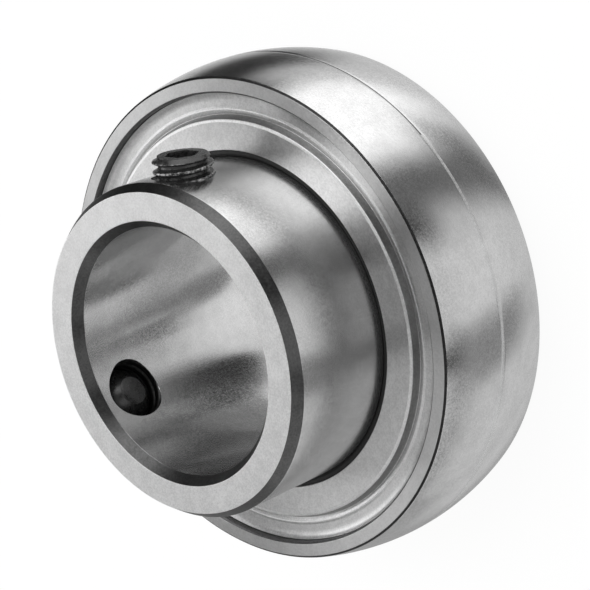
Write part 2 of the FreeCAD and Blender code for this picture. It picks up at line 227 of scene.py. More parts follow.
def outer_ring_section():
    """The outer ring: its sphere with the seam, the faces, the seal seats and the raceway."""
    rim_height = FACE_HEIGHT - RIM_CHAMFER_DEEP
    rim_radius = math.sqrt(SPHERE_RADIUS ** 2 - FACE_HEIGHT ** 2) - RIM_CHAMFER_WIDE
    edge_radius = math.sqrt(SPHERE_RADIUS ** 2 - rim_height ** 2)
    edge_angle = math.degrees(math.asin(rim_height / SPHERE_RADIUS))
    seam_angle = math.degrees(SEAM_WIDTH / 2 / SPHERE_RADIUS)
    seat_top = PLATE_TOP - STEP_RISE
    seat_floor = seat_top - PLATE_SHEET
    groove_centre = OUTER_GROOVE_BOTTOM - GROOVE_RADIUS
    groove_angle = math.degrees(math.acos((SHOULDER_RADIUS - groove_centre) / GROOVE_RADIUS))
    lower_sphere = arc(0, 0, SPHERE_RADIUS, -edge_angle, -seam_angle, SPHERE_STEPS)
    upper_sphere = arc(0, 0, SPHERE_RADIUS, seam_angle, edge_angle, SPHERE_STEPS)
    floor_angle = seam_angle * SEAM_FLOOR_SHARE
    seam = arc(0, 0, SPHERE_RADIUS - SEAM_DEPTH, -floor_angle, floor_angle, SEAM_STEPS)
    upper_seat = [
        (rim_radius, FACE_HEIGHT, RIM_ROUND),
        (SEAT_RADIUS + SEAT_EDGE, FACE_HEIGHT, EDGE_BREAK),
        (SEAT_RADIUS, FACE_HEIGHT - SEAT_EDGE, EDGE_BREAK),
        (SEAT_RADIUS, seat_top, 0),
        (TUCK_RADIUS, seat_top, 0),
        (TUCK_RADIUS, seat_floor, 0),
        (SHOULDER_RADIUS, seat_floor, EDGE_BREAK),
    ]
    lower_seat = [(r, -z, rounding) for r, z, rounding in reversed(upper_seat)]
    raceway = arc(groove_centre, 0, GROOVE_RADIUS, groove_angle, -groove_angle, RACEWAY_STEPS)
    lower_edge = [(edge_radius, -rim_height, RIM_ROUND)]
    upper_edge = [(edge_radius, rim_height, RIM_ROUND)]
    sphere = lower_edge + lower_sphere[1:] + seam + upper_sphere[:-1] + upper_edge
    return broken(sphere + upper_seat + raceway + lower_seat)


def inner_ring_section():
    """The inner ring: its bore, the long nose, the raceway and the back."""
    groove_centre = INNER_GROOVE_BOTTOM + GROOVE_RADIUS
    groove_angle = math.degrees(math.acos((groove_centre - INNER_RADIUS) / GROOVE_RADIUS))
    raceway = arc(groove_centre, 0, GROOVE_RADIUS, 180 + groove_angle, 180 - groove_angle, RACEWAY_STEPS)
    return broken([
        (BORE_RADIUS + BACK_CHAMFER, -FACE_HEIGHT, EDGE_BREAK),
        (INNER_RADIUS - BACK_CHAMFER, -FACE_HEIGHT, EDGE_BREAK),
        (INNER_RADIUS, BACK_CHAMFER - FACE_HEIGHT, EDGE_BREAK),
        *raceway,
        (INNER_RADIUS, NOSE_HEIGHT - NOSE_CHAMFER_DEEP, EDGE_BREAK),
        (INNER_RADIUS - NOSE_CHAMFER_WIDE, NOSE_HEIGHT, EDGE_BREAK),
        (BORE_RADIUS + BORE_CHAMFER_WIDE, NOSE_HEIGHT, EDGE_BREAK),
        (BORE_RADIUS, NOSE_HEIGHT - BORE_CHAMFER_DEEP, EDGE_BREAK),
        (BORE_RADIUS, BACK_CHAMFER - FACE_HEIGHT, EDGE_BREAK),
    ])


def seal_plate_section():
    """The front seal plate: a flared rim, a low ridge, and a step up to the flat that holds the lip."""
    seat_top = PLATE_TOP - STEP_RISE
    seat_floor = seat_top - PLATE_SHEET
    under = PLATE_TOP - PLATE_SHEET
    return broken([
        (PLATE_RIM_RADIUS, seat_floor, EDGE_BREAK),
        (PLATE_RIM_RADIUS, seat_top, EDGE_BREAK),
        (FLARE_OUTER_RADIUS, seat_top, 0),
        (FLARE_OUTER_RADIUS, seat_top + FLARE_RISE, FLARE_EDGE_ROUND),
        (FLARE_MIDDLE_RADIUS, seat_top + FLARE_RISE * FLARE_MIDDLE_SHARE, FLARE_ROUND),
        (FLARE_INNER_RADIUS, seat_top, FLARE_FOOT_ROUND),
        (RIDGE_RADIUS + RIDGE_WIDTH / 2, seat_top, RIDGE_FOOT_ROUND),
        (RIDGE_RADIUS, seat_top + RIDGE_HEIGHT, RIDGE_ROUND),
        (RIDGE_RADIUS - RIDGE_WIDTH / 2, seat_top, MOAT_ROUND),
        (STEP_RADIUS + STEP_SLANT, seat_top - MOAT_DEPTH, MOAT_ROUND),
        (STEP_RADIUS, PLATE_TOP - STEP_FALL, STEP_ROUND),
        (STEP_RADIUS - STEP_FALL_WIDTH, PLATE_TOP, STEP_FALL_ROUND),
        (PLATE_INNER_RADIUS, PLATE_TOP, EDGE_BREAK),
        (PLATE_INNER_RADIUS, under, EDGE_BREAK),
        (STEP_RADIUS - PLATE_SHEET, under, UNDER_ROUND),
        (STEP_RADIUS - PLATE_SHEET + STEP_SLANT, seat_floor, UNDER_FOOT_ROUND),
    ])


def seal_lip_section():
    """The front seal's rubber lip, with two edges that nearly touch the inner ring."""
    under = PLATE_TOP - PLATE_SHEET
    edge = INNER_RADIUS + LIP_CLEARANCE
    waist = edge + LIP_WAIST
    return broken([
        (LIP_ROOT_RADIUS, under, 0),
        (PLATE_INNER_RADIUS, under, 0),
        (PLATE_INNER_RADIUS, PLATE_TOP - LIP_SETBACK, EDGE_BREAK),
        (waist, PLATE_TOP - LIP_SETBACK, EDGE_BREAK),
        (edge, under + LIP_EDGE / 2, LIP_TIP_ROUND),
        (edge, under - LIP_EDGE / 2, LIP_TIP_ROUND),
        (waist, under - LIP_THICKNESS, LIP_ROUND),
        (edge, under - LIP_REACH + LIP_EDGE, LIP_TIP_ROUND),
        (edge, under - LIP_REACH, LIP_TIP_ROUND),
        (waist + LIP_EDGE, under - LIP_REACH, EDGE_BREAK),
        (PLATE_INNER_RADIUS + LIP_WAIST, under - LIP_THICKNESS, LIP_ROUND),
        (LIP_ROOT_RADIUS, under - LIP_THICKNESS, EDGE_BREAK),
    ])


# Geometry Nodes
class Tree:
    """A small helper that adds nodes to a node tree and links them."""

    def __init__(self, tree):
        self.tree = tree

    def add(self, kind, inputs=(), **settings):
        node = self.tree.nodes.new(kind)
        for name, value in settings.items():
            setattr(node, name, value)
        for key, value in dict(inputs).items():
            self.feed(node.inputs[key], value)
        return node

    def feed(self, socket, value):
        if isinstance(value, bpy.types.NodeSocket):
            self.tree.links.new(value, socket)
        else:
            socket.default_value = value

    def math(self, operation, a, b=None, clamp=False):
        inputs = {0: a} if b is None else {0: a, 1: b}
        return self.add("ShaderNodeMath", inputs, operation=operation, use_clamp=clamp).outputs[0]

    def vector(self, operation, a, b=None):
        inputs = {0: a} if b is None else {0: a, 1: b}
        return self.add("ShaderNodeVectorMath", inputs, operation=operation).outputs[0]

    def mix(self, share, a, b):
        node = self.add("ShaderNodeMix", {0: share}, data_type="FLOAT")
        self.feed(node.inputs[2], a)
        self.feed(node.inputs[3], b)
        return node.outputs[0]

    def ramp(self, value, low, high, out_low=0.0, out_high=1.0):
        node = self.add("ShaderNodeMapRange", {0: value, 1: low, 2: high, 3: out_low, 4: out_high})
        node.interpolation_type = "SMOOTHSTEP"
        return node.outputs[0]

    def noise(self, place, scale, detail, roughness):
        inputs = {"Vector": place, "Scale": scale, "Detail": detail, "Roughness": roughness}
        return self.add("ShaderNodeTexNoise", inputs).outputs[0]

    def split(self, vector):
        return self.add("ShaderNodeSeparateXYZ", {0: vector}).outputs

    def join(self, x, y, z):
        return self.add("ShaderNodeCombineXYZ", {0: x, 1: y, 2: z}).outputs[0]


def new_tree(name, kind, inputs, outputs):
    """A node group with named sockets, given as name: socket type. Gives its helper, entry and exit."""
    tree = bpy.data.node_groups.new(name, kind)
    for label, socket in inputs.items():
        tree.interface.new_socket(label, in_out="INPUT", socket_type=socket)
    for label, socket in outputs.items():
        tree.interface.new_socket(label, in_out="OUTPUT", socket_type=socket)
    helper = Tree(tree)
    entry = tree.nodes.new("NodeGroupInput").outputs
    leave = tree.nodes.new("NodeGroupOutput").inputs
    return helper, entry, leave


def finished(nodes, moved, finish):
    """The end of a geometry tree: the seam is closed, and the mesh is real and has its material."""
    closed = nodes.add("GeometryNodeMergeByDistance", {"Geometry": moved.outputs[0], "Distance": MERGE})
    real = nodes.add("GeometryNodeRealizeInstances", {"Geometry": closed.outputs[0]})
    done = nodes.add("GeometryNodeSetMaterial", {"Geometry": real.outputs[0], "Material": finish})
    return done.outputs[0]


def turning_tree():
    """Turns a closed section, points (r, 0, z), about the shaft's axis."""
    nodes, entry, leave = new_tree(
        "turned_ring", "GeometryNodeTree",
        {"Section": "NodeSocketGeometry", "Segments": "NodeSocketInt", "Finish": "NodeSocketMaterial"},
        {"Ring": "NodeSocketGeometry"})
    size = nodes.add("GeometryNodeAttributeDomainSize", {"Geometry": entry["Section"]})
    points = size.outputs["Point Count"]
    along = nodes.math("ADD", points, 1.0)
    around = nodes.math("ADD", entry["Segments"], 1.0)
    grid = nodes.add("GeometryNodeMeshGrid", {
        "Size X": 1.0, "Size Y": 1.0, "Vertices X": along, "Vertices Y": around})
    place = nodes.split(nodes.add("GeometryNodeInputPosition").outputs[0])
    step = nodes.math("ROUND", nodes.math("MULTIPLY", nodes.math("ADD", place[0], 0.5), points))
    index = nodes.math("FLOORED_MODULO", step, points)
    angle = nodes.math("MULTIPLY", nodes.math("ADD", place[1], 0.5), TURN)
    sample = nodes.add("GeometryNodeSampleIndex", {"Geometry": entry["Section"], "Index": index},
                       data_type="FLOAT_VECTOR", domain="POINT")
    nodes.feed(sample.inputs["Value"], nodes.add("GeometryNodeInputPosition").outputs[0])
    section = nodes.split(sample.outputs[0])
    across = nodes.math("MULTIPLY", section[0], nodes.math("COSINE", angle))
    deep = nodes.math("MULTIPLY", section[0], nodes.math("SINE", angle))
    moved = nodes.add("GeometryNodeSetPosition", {
        "Geometry": grid.outputs["Mesh"], "Position": nodes.join(across, deep, section[2])})
    nodes.feed(leave["Ring"], finished(nodes, moved, entry["Finish"]))
    return nodes.tree


def threading_tree():
    """A closed rod along +Z from 0, with a right-hand thread and a bevel at each end."""
    sizes = ("Length", "Crest Radius", "Depth", "Pitch", "Low Chamfer", "High Chamfer", "Start")
    inputs = {"Blank": "NodeSocketGeometry"}
    inputs.update({name: "NodeSocketFloat" for name in sizes})
    inputs.update({"Around": "NodeSocketInt", "Rows": "NodeSocketInt", "Finish": "NodeSocketMaterial"})
    outputs = {"Rod": "NodeSocketGeometry"}
    nodes, entry, leave = new_tree("threaded_rod", "GeometryNodeTree", inputs, outputs)
    grid = nodes.add("GeometryNodeMeshGrid", {
        "Size X": 1.0, "Size Y": 1.0, "Vertices X": nodes.math("ADD", entry["Around"], 1.0),
        "Vertices Y": nodes.math("ADD", entry["Rows"], 1.0)})
    place = nodes.split(nodes.add("GeometryNodeInputPosition").outputs[0])
    turn = nodes.math("ADD", place[0], 0.5)
    row = nodes.math("MULTIPLY", nodes.math("ADD", place[1], 0.5), entry["Rows"])
    inner_rows = nodes.math("SUBTRACT", entry["Rows"], 2.0)
    share = nodes.math("DIVIDE", nodes.math("SUBTRACT", row, 1.0), inner_rows, clamp=True)
    height = nodes.math("MULTIPLY", share, entry["Length"])
    turns = nodes.math("SUBTRACT", nodes.math("DIVIDE", height, entry["Pitch"]),
                       nodes.math("ADD", turn, entry["Start"]))
    phase = nodes.math("FLOORED_MODULO", turns, 1.0)
    flank = nodes.math("MULTIPLY", nodes.math("ABSOLUTE", nodes.math("SUBTRACT", phase, 0.5)), 2.0)
    tooth = nodes.ramp(flank, THREAD_ROOT_SHARE, THREAD_CREST_SHARE)
    below = nodes.math("MULTIPLY", nodes.math("SUBTRACT", 1.0, tooth), entry["Depth"])
    thread = nodes.math("SUBTRACT", entry["Crest Radius"], below)
    low = nodes.math("ADD", nodes.math("SUBTRACT", entry["Crest Radius"], entry["Low Chamfer"]), height)
    above = nodes.math("SUBTRACT", entry["Length"], height)
    high = nodes.math("ADD", nodes.math("SUBTRACT", entry["Crest Radius"], entry["High Chamfer"]), above)
    radius = nodes.math("MINIMUM", thread, nodes.math("MINIMUM", low, high))
    first_row = nodes.math("GREATER_THAN", row, 0.5)
    last_row = nodes.math("LESS_THAN", row, nodes.math("SUBTRACT", entry["Rows"], 0.5))
    radius = nodes.math("MULTIPLY", radius, nodes.math("MULTIPLY", first_row, last_row))
    angle = nodes.math("MULTIPLY", turn, TURN)
    across = nodes.math("MULTIPLY", radius, nodes.math("COSINE", angle))
    deep = nodes.math("MULTIPLY", radius, nodes.math("SINE", angle))
    moved = nodes.add("GeometryNodeSetPosition", {
        "Geometry": grid.outputs["Mesh"], "Position": nodes.join(across, deep, height)})
    nodes.feed(leave["Rod"], finished(nodes, moved, entry["Finish"]))
    return nodes.tree


def set_inputs(modifier, values):
    """Sets a modifier's named inputs by their sockets' identifiers."""
    for item in modifier.node_group.interface.items_tree:
        if item.in_out == "INPUT" and item.name in values:
            modifier[item.identifier] = values[item.name]


def settle(piece):
    """Makes a piece with live modifiers a plain mesh, and takes the modifiers away."""
    bpy.context.view_layer.update()
    graph = bpy.context.evaluated_depsgraph_get()
    result = bpy.data.meshes.new_from_object(piece.evaluated_get(graph))
    old = piece.data
    piece.modifiers.clear()
    piece.data = result
    bpy.data.meshes.remove(old)
    return piece


def face_outwards(piece):
    """Merges doubles, turns the faces outwards, and smooths all but the sharp edges."""
    work = bmesh.new()
    work.from_mesh(piece.data)
    bmesh.ops.remove_doubles(work, verts=work.verts, dist=MERGE)
    bmesh.ops.dissolve_degenerate(work, edges=work.edges, dist=MERGE)
    bmesh.ops.recalc_face_normals(work, faces=work.faces)
    for face in work.faces:
        face.smooth = True
    work.to_mesh(piece.data)
    work.free()
    piece.data.set_sharp_from_angle(angle=SHARP_ANGLE)
    return piece


def add_object(name, mesh):
    piece = bpy.data.objects.new(name, mesh)
    bpy.context.scene.collection.objects.link(piece)
    return piece


def turned(name, section, finish):
    """A ring turned from a section in millimetres."""
    mesh = bpy.data.meshes.new(name + "_section")
    mesh.from_pydata([(r * MM, 0, z * MM) for r, z in section], [], [])
    piece = add_object(name, mesh)
    modifier = piece.modifiers.new("turning", "NODES")
    modifier.node_group = TURNING
    set_inputs(modifier, {"Segments": RING_SEGMENTS, "Finish": finish})
    return face_outwards(settle(piece))


def threaded(name, length, crest, depth, low, high, start, finish):
    """A threaded rod along +Z from 0, from sizes in millimetres."""
    mesh = bpy.data.meshes.new(name + "_blank")
    piece = add_object(name, mesh)
    modifier = piece.modifiers.new("threading", "NODES")
    modifier.node_group = THREADING
    rows = round(length / THREAD_PITCH * THREAD_ROWS_PER_TURN) + 2
    set_inputs(modifier, {
        "Length": length * MM, "Crest Radius": crest * MM, "Depth": depth * MM, "Pitch": THREAD_PITCH * MM,
        "Low Chamfer": low * MM, "High Chamfer": high * MM, "Start": start, "Around": THREAD_AROUND,
        "Rows": rows, "Finish": finish})
    return face_outwards(settle(piece))


def spindle(name, profile, sides):
    """A closed solid turned about +Z from points (r, z) in millimetres, the first and last on the axis."""
    work = bmesh.new()
    rings = []
    for r, z in profile:
        if r == 0:
            rings.append([work.verts.new((0, 0, z * MM))])
            continue
        ring = []
        for k in range(sides):
            angle = TURN * k / sides
            ring.append(work.verts.new((r * MM * math.cos(angle), r * MM * math.sin(angle), z * MM)))
        rings.append(ring)
    for low, high in zip(rings, rings[1:]):
        for k in range(sides):
            a = low[k % len(low)]
            b = low[(k + 1) % sides % len(low)]
            c = high[(k + 1) % sides % len(high)]
            d = high[k % len(high)]
            corners = list(dict.fromkeys((a, b, c, d)))
            work.faces.new(corners)
    bmesh.ops.recalc_face_normals(work, faces=work.faces)
    mesh = bpy.data.meshes.new(name)
    work.to_mesh(mesh)
    work.free()
    return add_object(name, mesh)


def cut(piece, tool):
    """Cuts a tool's solid out of a piece and puts the tool away."""
    modifier = piece.modifiers.new("cut", "BOOLEAN")
    modifier.operation = "DIFFERENCE"
    modifier.solver = "EXACT"
    modifier.object = tool
    settle(piece)
    mesh = tool.data
    bpy.data.objects.remove(tool)
    bpy.data.meshes.remove(mesh)
    return face_outwards(piece)


def radial_place(angle, start, height):
    """A place whose +Z points out along a radius, with +Y up the shaft."""
    way = math.radians(angle)
    outwards = Vector((math.cos(way), math.sin(way), 0))
    sideways = Vector((-math.sin(way), math.cos(way), 0))
    place = Matrix((sideways, Vector((0, 0, 1)), outwards)).transposed().to_4x4()
    place.translation = outwards * start * MM + Vector((0, 0, height * MM))
    return place


def smooth_copy(node, name, finish):
    """A merged, smooth copy of a CAD node's mesh, to stand for it."""
    piece = add_object(name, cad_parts[node].data.copy())
    piece.data.materials.clear()
    piece.data.materials.append(finish)
    return face_outwards(piece)


def paint(piece, finishes, choose):
    """Gives each face of a piece one of several finishes, by its centre in millimetres and its normal."""
    piece.data.materials.clear()
    for finish in finishes:
        piece.data.materials.append(finish)
    for face in piece.data.polygons:
        face.material_index = finishes.index(choose(face.center / MM, face.normal))


# Shader node groups
PER_MM = (1 / MM, 1 / MM, 1 / MM)
SPECKS_PER_MM = 5.0
GRIT_PER_MM = 2.2
# How far below the crests, and in which patches, the set screws are painted lighter: partly wear, partly a
# painted highlight
WEAR_AND_HIGHLIGHT_DEPTH = 0.16
WEAR_AND_HIGHLIGHT_LOW = 0.44
WEAR_AND_HIGHLIGHT_HIGH = 0.58
# How the steel's grain makes its tone, its roughness and its relief, which is spread round the shaft
PATCH_SHARE = 0.5
SPECK_SHARE = 0.45
RELIEF_SPECK_SHARE = 0.35
TONE_LOW = 0.36
TONE_HIGH = 0.64
SPECK_LOW = 0.3
SPECK_HIGH = 0.7
ROUND_THE_SHAFT = 0.25
# The black of the set screws, lighter near the crests for wear and for a painted highlight, and the seals'
# rubber. Relief is in millimetres.
BLACK_LOW = 0.04
BLACK_HIGH = 0.16
BLACK_SMOOTH = 0.22
BLACK_ROUGH = 0.42
BLACK_METALLIC = 0.85
BLACK_RELIEF = 0.006
GRIT_LOW = 0.35
GRIT_HIGH = 0.65
WEAR_AND_HIGHLIGHT_TONE = 0.6
RUBBER_LOW = 0.008
RUBBER_HIGH = 0.02
RUBBER_SMOOTH = 0.5
RUBBER_ROUGH = 0.7
RUBBER_RELIEF = 0.004


def grain_group():
    """Fine lines round the shaft's axis with soft patches, as turning and grinding leave them."""
    nodes, entry, leave = new_tree(
        "ground_grain", "ShaderNodeTree",
        {"Lines per mm": "NodeSocketFloat", "Length": "NodeSocketFloat", "Patch": "NodeSocketFloat"},
        {"Lines": "NodeSocketFloat", "Patches": "NodeSocketFloat", "Specks": "NodeSocketFloat"})
    place = nodes.add("ShaderNodeTexCoord").outputs["Object"]
    spot = nodes.vector("MULTIPLY", place, PER_MM)
    parts = nodes.split(spot)
    flat = nodes.join(parts[0], parts[1], 0.0)
    radius = nodes.add("ShaderNodeVectorMath", {0: flat}, operation="LENGTH").outputs["Value"]
    way = nodes.split(nodes.add("ShaderNodeVectorMath", {0: flat}, operation="NORMALIZE").outputs[0])
    turn_x = nodes.math("MULTIPLY", way[0], entry["Length"])
    turn_y = nodes.math("MULTIPLY", way[1], entry["Length"])
    up = nodes.math("MULTIPLY", parts[2], entry["Lines per mm"])
    out = nodes.math("MULTIPLY", radius, entry["Lines per mm"])
    lines = nodes.add("ShaderNodeTexNoise", {
        "Vector": nodes.join(turn_x, turn_y, up), "W": out, "Scale": 1.0, "Detail": 3.0,
        "Roughness": 0.65}, noise_dimensions="4D")
    nodes.feed(leave["Lines"], lines.outputs[0])
    nodes.feed(leave["Patches"], nodes.noise(spot, entry["Patch"], 3.0, 0.6))
    nodes.feed(leave["Specks"], nodes.noise(spot, SPECKS_PER_MM, 2.0, 0.7))
    return nodes.tree


def crest_wear_and_highlight_group():
    """Where a set screw's black is lighter, here and there near its thread's crests: partly wear, partly a
    painted highlight.
    """
    nodes, entry, leave = new_tree(
        "crest_wear_and_highlight", "ShaderNodeTree",
        {"Outwards": "NodeSocketVector", "Crest": "NodeSocketFloat"},
        {"Wear And Highlight": "NodeSocketFloat", "Grit": "NodeSocketFloat"})
    place = nodes.add("ShaderNodeTexCoord").outputs["Object"]
    centred = nodes.vector("SUBTRACT", place, (0, 0, SCREW_HEIGHT * MM))
    along = nodes.add("ShaderNodeVectorMath", {0: centred, 1: entry["Outwards"]}, operation="DOT_PRODUCT")
    axis_part = nodes.add("ShaderNodeVectorMath", {0: entry["Outwards"]}, operation="SCALE")
    nodes.feed(axis_part.inputs["Scale"], along.outputs["Value"])
    away = nodes.vector("SUBTRACT", centred, axis_part.outputs[0])
    radius = nodes.add("ShaderNodeVectorMath", {0: away}, operation="LENGTH").outputs["Value"]
    near = nodes.math("DIVIDE", nodes.math("SUBTRACT", entry["Crest"], radius), MM)
    crest = nodes.ramp(near, WEAR_AND_HIGHLIGHT_DEPTH, 0.0)
    grit = nodes.noise(nodes.vector("MULTIPLY", place, PER_MM), GRIT_PER_MM, 4.0, 0.7)
    # Lighter near the crests in patches: partly wear, partly a painted highlight
    wear_and_highlight = nodes.math("MULTIPLY", crest, nodes.ramp(grit, WEAR_AND_HIGHLIGHT_LOW, WEAR_AND_HIGHLIGHT_HIGH))
    nodes.feed(leave["Wear And Highlight"], wear_and_highlight)
    nodes.feed(leave["Grit"], grit)
    return nodes.tree


def new_material(name):
    """A material, a helper for its nodes, and its surface shader."""
    material = bpy.data.materials.new(name)
    material.use_nodes = True
    nodes = Tree(material.node_tree)
    surface = material.node_tree.nodes["Principled BSDF"]
    return material, nodes, surface


def use_group(nodes, tree, values):
    """Places a node group with its own values."""
    node = nodes.add("ShaderNodeGroup", node_tree=tree)
    for name, value in values.items():
        node.inputs[name].default_value = value
    return node.outputs


def grey(level):
    return (level, level, level, 1)


def add_relief(nodes, surface, height, depth):
    """Fine relief of a depth in millimetres."""
    bump = nodes.add("ShaderNodeBump", {"Strength": 1.0, "Distance": depth * MM, "Height": height})
    nodes.feed(surface.inputs["Normal"], bump.outputs[0])


def steel(name, dark, light, smooth, rough, lines=9.0, length=60.0, patch=0.6, spread=0.6, depth=0.0015):
    """Bare steel with a grain round the shaft: its tone and roughness run between two values."""
    material, nodes, surface = new_material(name)
    grain = use_group(nodes, GRAIN, {"Lines per mm": lines, "Length": length, "Patch": patch})
    soft = nodes.mix(PATCH_SHARE, grain["Lines"], grain["Patches"])
    tone = nodes.ramp(nodes.mix(SPECK_SHARE, soft, grain["Specks"]), TONE_LOW, TONE_HIGH)
    colour = nodes.add("ShaderNodeMix", {0: tone, 6: grey(dark), 7: grey(light)}, data_type="RGBA")
    nodes.feed(surface.inputs["Base Color"], colour.outputs[2])
    roughness = nodes.ramp(grain["Specks"], SPECK_LOW, SPECK_HIGH, smooth, rough)
    nodes.feed(surface.inputs["Roughness"], roughness)
    surface.inputs["Metallic"].default_value = 1.0
    surface.inputs["Anisotropic"].default_value = spread
    surface.inputs["Anisotropic Rotation"].default_value = ROUND_THE_SHAFT
    tangent = nodes.add("ShaderNodeTangent", direction_type="RADIAL", axis="Z")
    nodes.feed(surface.inputs["Tangent"], tangent.outputs[0])
    add_relief(nodes, surface, nodes.mix(RELIEF_SPECK_SHARE, grain["Lines"], grain["Specks"]), depth)
    return material


def rubber():
    """The seal lips' dull black rubber."""
    material, nodes, surface = new_material("seal_rubber")
    grain = use_group(nodes, GRAIN, {"Lines per mm": 3.0, "Length": 20.0, "Patch": 0.8})
    tones = {0: grain["Patches"], 6: grey(RUBBER_LOW), 7: grey(RUBBER_HIGH)}
    colour = nodes.add("ShaderNodeMix", tones, data_type="RGBA")
    nodes.feed(surface.inputs["Base Color"], colour.outputs[2])
    roughness = nodes.ramp(grain["Specks"], SPECK_LOW, SPECK_HIGH, RUBBER_SMOOTH, RUBBER_ROUGH)
    nodes.feed(surface.inputs["Roughness"], roughness)
    add_relief(nodes, surface, grain["Specks"], RUBBER_RELIEF)
    return material


def blackened(number, angle):
    """Black oxide on a set screw, lighter here and there on the thread's crests: partly wear, partly a
    painted highlight.
    """
    material, nodes, surface = new_material(f"blackened_steel_{number}")
    way = math.radians(angle)
    outwards = (math.cos(way), math.sin(way), 0)
    crest_paint = use_group(nodes, CREST_WEAR_AND_HIGHLIGHT, {"Outwards": outwards, "Crest": SCREW_CREST * MM})
    tones = {0: crest_paint["Grit"], 6: grey(BLACK_LOW), 7: grey(BLACK_HIGH)}
    black = nodes.add("ShaderNodeMix", tones, data_type="RGBA")
    colour = nodes.add("ShaderNodeMix", {0: crest_paint["Wear And Highlight"], 7: grey(WEAR_AND_HIGHLIGHT_TONE)}, data_type="RGBA")
    nodes.feed(colour.inputs[6], black.outputs[2])
    nodes.feed(surface.inputs["Base Color"], colour.outputs[2])
    roughness = nodes.ramp(crest_paint["Grit"], GRIT_LOW, GRIT_HIGH, BLACK_SMOOTH, BLACK_ROUGH)
    nodes.feed(surface.inputs["Roughness"], roughness)
    surface.inputs["Metallic"].default_value = BLACK_METALLIC
    add_relief(nodes, surface, crest_paint["Grit"], BLACK_RELIEF)
    return material


TURNING = turning_tree()
THREADING = threading_tree()
GRAIN = grain_group()
CREST_WEAR_AND_HIGHLIGHT = crest_wear_and_highlight_group()

# Finishes: the darkest and lightest tone, then the lowest and highest roughness
SPHERE_STEEL = steel("sphere_steel", 0.68, 0.86, 0.17, 0.25, spread=0.8, depth=0.0008)
RING_FACE_STEEL = steel("ring_face_steel", 0.56, 0.68, 0.32, 0.42, spread=0.85)
# Painted shade: a near-black steel for the seal seats' walls, the grease holes, the seam's middle and the
# inner ring's hidden faces
PAINTED_SHADE_STEEL = steel("painted_shade_steel", 0.12, 0.22, 0.3, 0.45, lines=5.0, spread=0.7)
# Painted shade: near-black steel inside the set screws' tapped holes
HOLE_SHADE_STEEL = steel("hole_painted_shade_steel", 0.04, 0.12, 0.35, 0.5, spread=0.0)
RACEWAY_STEEL = steel("raceway_steel", 0.62, 0.7, 0.08, 0.14, spread=0.3)
NOSE_STEEL = steel("nose_steel", 0.68, 0.86, 0.16, 0.24, spread=0.85)
# The nose's end face; the same bright steel makes painted highlights on the sphere's seam and on the seal
# plates' ridge and step edge
NOSE_FACE_AND_HIGHLIGHT_STEEL = steel("nose_face_and_highlight_steel", 0.76, 0.96, 0.36, 0.5, spread=0.0)
# Painted shade: dark steel on the inner ring's chamfers
CHAMFER_SHADE_STEEL = steel("chamfer_painted_shade_steel", 0.1, 0.17, 0.3, 0.42, lines=5.0, spread=0.6)
BORE_STEEL = steel("bore_steel", 0.6, 0.76, 0.15, 0.23, spread=0.88)
BALL_STEEL = steel("ball_steel", 0.7, 0.74, 0.04, 0.08, spread=0.0)
CAGE_STEEL = steel("cage_steel", 0.45, 0.6, 0.3, 0.42, spread=0.0)
RIVET_STEEL = steel("rivet_steel", 0.5, 0.62, 0.28, 0.4, spread=0.0)
PLATE_STEEL = steel("plate_steel", 0.6, 0.78, 0.31, 0.39, spread=0.8, patch=1.6)
# Painted shade: a darker steel for the seal plates' step walls
STEP_SHADE_STEEL = steel("step_wall_painted_shade_steel", 0.3, 0.42, 0.3, 0.45, spread=0.8)
# Painted shade: near-black steel on the outer ring's rim chamfers
RIM_SHADE_STEEL = steel("rim_painted_shade_steel", 0.04, 0.08, 0.35, 0.5, spread=0.0)
RUBBER = rubber()


# Pieces
def outer_ring_zone(centre, normal):
    """The finish of a face of the outer ring."""
    r = math.hypot(centre.x, centre.y)
    z = centre.z
    # The seam: a painted highlight between two directions, and painted shade in its middle elsewhere
    if r > RIM_ZONE_RADIUS and abs(z) < SEAM_WIDTH / 2:
        turn = math.degrees(math.atan2(centre.y, centre.x)) % 360
        if SEAM_PAINTED_HIGHLIGHT[0] < turn < SEAM_PAINTED_HIGHLIGHT[1]:
            return NOSE_FACE_AND_HIGHLIGHT_STEEL
        return PAINTED_SHADE_STEEL if abs(z) < SEAM_WIDTH / 2 * SEAM_PAINTED_SHADE_SHARE else SPHERE_STEEL
    if math.hypot(r, z) > SPHERE_RADIUS - 2 * NEAR:
        return SPHERE_STEEL
    if abs(z) > FACE_HEIGHT - NEAR:
        return RING_FACE_STEEL
    # Painted shade on the rim's chamfer
    if r > RIM_ZONE_RADIUS:
        return RIM_SHADE_STEEL
    if SHOULDER_RADIUS - NEAR < r < OUTER_GROOVE_BOTTOM and abs(z) < GROOVE_RADIUS:
        return RACEWAY_STEEL
    # The rest, the seal seats' walls and the grease holes, gets painted shade
    return PAINTED_SHADE_STEEL


def make_outer_ring():
    ring = turned("outer_ring_shell", outer_ring_section(), SPHERE_STEEL)
    grease_drill = [(0, GREASE_DRILL_START), (GREASE_HOLE_RADIUS, GREASE_DRILL_START),
                    (GREASE_HOLE_RADIUS, GREASE_DRILL_END), (0, GREASE_DRILL_END)]
    for angle, height in GREASE_HOLES:
        drill = spindle("grease_drill", grease_drill, DRILL_SIDES)
        drill.data.transform(radial_place(angle, 0, height))
        cut(ring, drill)
    finishes = [SPHERE_STEEL, RING_FACE_STEEL, RACEWAY_STEEL, PAINTED_SHADE_STEEL, RIM_SHADE_STEEL, NOSE_FACE_AND_HIGHLIGHT_STEEL]
    paint(ring, finishes, outer_ring_zone)
    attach(ring, "outer_unit")
    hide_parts("outer_ring")


